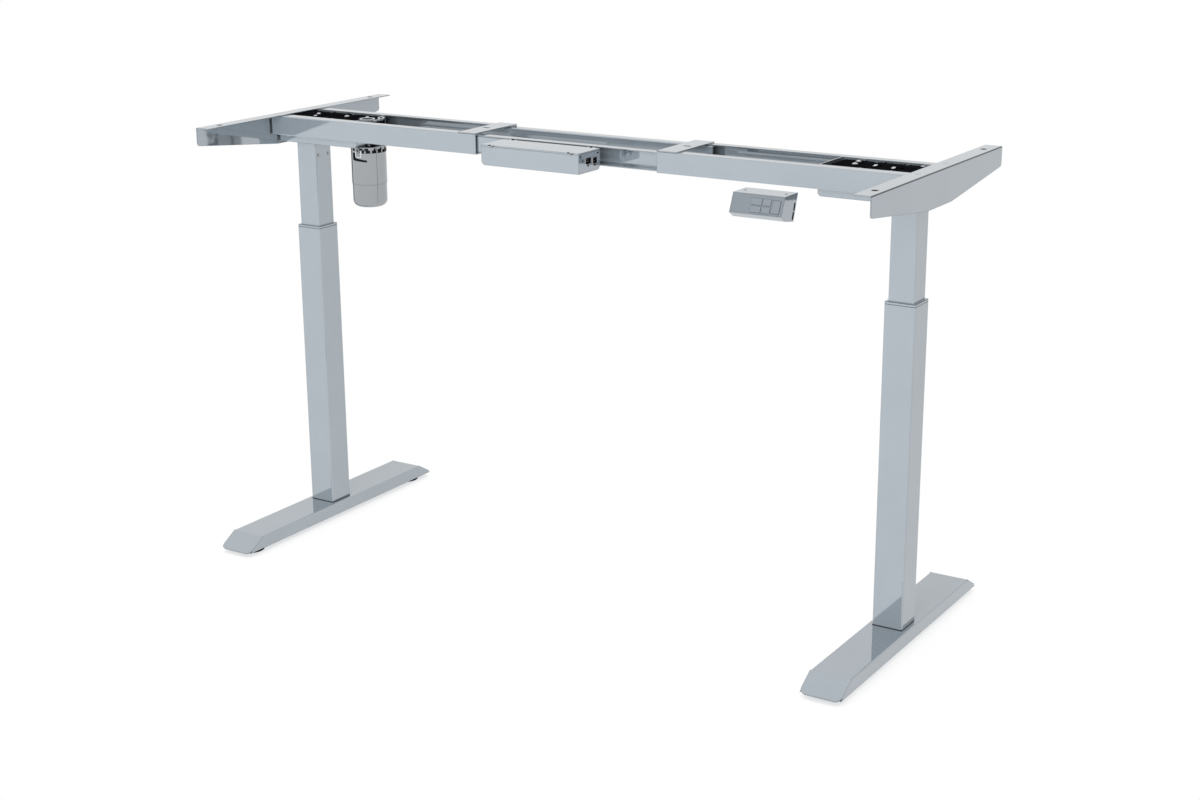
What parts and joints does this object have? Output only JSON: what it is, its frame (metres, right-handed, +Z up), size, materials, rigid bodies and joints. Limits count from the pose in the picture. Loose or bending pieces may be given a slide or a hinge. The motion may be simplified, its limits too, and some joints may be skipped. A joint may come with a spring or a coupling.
{
  "type": "standing desk frame",
  "caption": "Standing desk frame: two telescopic square columns on long feet, a width-adjustable rail frame with side brackets, one motor, control box and handset.",
  "frame": {"origin": "on the floor, in the middle of the outline; the line between the two columns is at y = 0.0305", "axes": "+X right along the rails, +Y to the back, +Z up; the front is -Y"},
  "size_m": [1.467, 0.691, 0.894],
  "materials": {
    "frame_metal": "smooth silver grey powder coat",
    "plated": "bright plated steel",
    "zinc": "zinc plated fasteners",
    "black_plastic": "black moulded plastic",
    "key_plastic": "light grey keys"
  },
  "bodies": {
    "left_base": {"left_foot": "frame_metal", "left_base_plate": "frame_metal", "left_foot_bolts": "zinc", "left_lower_tube": "frame_metal", "left_collar": "frame_metal", "left_nut_tube": "zinc", "left_nut": "plated"},
    "left_head": {"left_upper_tube": "frame_metal", "left_tube_guide": "black_plastic", "left_tray": "frame_metal", "left_gear_case": "black_plastic", "left_gear_cover": "black_plastic", "left_front_rail": "frame_metal", "left_rear_rail": "frame_metal", "left_bridge": "frame_metal", "left_bracket": "frame_metal", "left_head_screws": "plated", "motor_can": "plated", "motor_cap": "plated"},
    "middle": {"front_middle_rail": "frame_metal", "rear_middle_rail": "frame_metal", "control_box_case": "frame_metal", "control_box_lid": "frame_metal", "control_box_sockets": "black_plastic", "handset_case": "frame_metal", "handset_panel": "frame_metal"},
    "right_head": {"right_upper_tube": "frame_metal", "right_tube_guide": "black_plastic", "right_tray": "frame_metal", "right_gear_case": "black_plastic", "right_gear_cover": "black_plastic", "right_front_rail": "frame_metal", "right_rear_rail": "frame_metal", "right_bridge": "frame_metal", "right_bracket": "frame_metal", "right_head_screws": "plated"},
    "right_base": {"right_foot": "frame_metal", "right_base_plate": "frame_metal", "right_foot_bolts": "zinc", "right_lower_tube": "frame_metal", "right_collar": "frame_metal", "right_nut_tube": "zinc", "right_nut": "plated"},
    "left_screw": {"left_spindle": "zinc"},
    "right_screw": {"right_spindle": "zinc"},
    "motor_rotor": {"motor_shaft": "zinc"},
    "tube_half": {"drive_tube": "zinc"},
    "rod_half": {"drive_rod": "zinc"},
    "left_front_foot_glide": {"left_front_glide": "black_plastic"},
    "left_back_foot_glide": {"left_back_glide": "black_plastic"},
    "right_front_foot_glide": {"right_front_glide": "black_plastic"},
    "right_back_foot_glide": {"right_back_glide": "black_plastic"},
    "key_1": {"memory_key_1": "key_plastic"},
    "key_2": {"memory_key_2": "key_plastic"},
    "key_3": {"memory_key_3": "key_plastic"},
    "key_4": {"memory_key_4": "key_plastic"},
    "rocker_key": {"up_down_key": "key_plastic"}
  },
  "joints": [
    {"name": "height", "type": "slide", "parent": "left_base", "child": "left_head", "axis": [0, 0, 1], "range_m": [-0.145, 0.325]},
    {"name": "left_width", "type": "slide", "parent": "left_head", "child": "middle", "axis": [1, 0, 0], "range_m": [-0.195, 0]},
    {"name": "right_width", "type": "slide", "parent": "middle", "child": "right_head", "axis": [1, 0, 0], "range_m": [-0.195, 0]},
    {"name": "right_column", "type": "slide", "parent": "right_head", "child": "right_base", "axis": [0, 0, -1], "range_m": [-0.145, 0.325]},
    {"name": "left_screw_turn", "type": "hinge", "parent": "left_head", "child": "left_screw", "pos_m": [-0.6785, 0.0305, 0.862], "axis": [0, 0, 1], "continuous": true},
    {"name": "right_screw_turn", "type": "hinge", "parent": "right_head", "child": "right_screw", "pos_m": [0.6785, 0.0305, 0.862], "axis": [0, 0, 1], "continuous": true},
    {"name": "motor_turn", "type": "hinge", "parent": "left_head", "child": "motor_rotor", "pos_m": [-0.531, 0.0305, 0.862], "axis": [0, 0, 1], "continuous": true},
    {"name": "tube_turn", "type": "hinge", "parent": "left_head", "child": "tube_half", "pos_m": [-0.3, 0.0305, 0.862], "axis": [1, 0, 0], "continuous": true},
    {"name": "rod_turn", "type": "hinge", "parent": "right_head", "child": "rod_half", "pos_m": [0.3, 0.0305, 0.862], "axis": [1, 0, 0], "continuous": true},
    {"name": "left_front_glide_screw", "type": "slide", "parent": "left_base", "child": "left_front_foot_glide", "axis": [0, 0, 1], "range_m": [-0.012, 0]},
    {"name": "left_back_glide_screw", "type": "slide", "parent": "left_base", "child": "left_back_foot_glide", "axis": [0, 0, 1], "range_m": [-0.012, 0]},
    {"name": "right_front_glide_screw", "type": "slide", "parent": "right_base", "child": "right_front_foot_glide", "axis": [0, 0, 1], "range_m": [-0.012, 0]},
    {"name": "right_back_glide_screw", "type": "slide", "parent": "right_base", "child": "right_back_foot_glide", "axis": [0, 0, 1], "range_m": [-0.012, 0]},
    {"name": "memory_key_1_press", "type": "slide", "parent": "middle", "child": "key_1", "axis": [0, 0.9138, -0.4061], "range_m": [0, 0.0006], "stiffness_N_per_m": 1500},
    {"name": "memory_key_2_press", "type": "slide", "parent": "middle", "child": "key_2", "axis": [0, 0.9138, -0.4061], "range_m": [0, 0.0006], "stiffness_N_per_m": 1500},
    {"name": "memory_key_3_press", "type": "slide", "parent": "middle", "child": "key_3", "axis": [0, 0.9138, -0.4061], "range_m": [0, 0.0006], "stiffness_N_per_m": 1500},
    {"name": "memory_key_4_press", "type": "slide", "parent": "middle", "child": "key_4", "axis": [0, 0.9138, -0.4061], "range_m": [0, 0.0006], "stiffness_N_per_m": 1500},
    {"name": "up_down_rock", "type": "hinge", "parent": "middle", "child": "rocker_key", "pos_m": [0.60323, -0.33842, 0.87596], "axis": [1, 0, 0], "range_deg": [-2.5, 2.5], "stiffness_Nm_per_rad": 0.4}
  ],
  "couplings": [
    {"joint": "right_column", "follows": "height", "ratio": 1},
    {"joint": "left_screw_turn", "follows": "height", "rad_per_m": 571.2},
    {"joint": "right_screw_turn", "follows": "height", "rad_per_m": -571.2},
    {"joint": "tube_turn", "follows": "height", "rad_per_m": 571.2},
    {"joint": "rod_turn", "follows": "height", "rad_per_m": 571.2},
    {"joint": "motor_turn", "follows": "height", "rad_per_m": -1142.4}
  ]
}
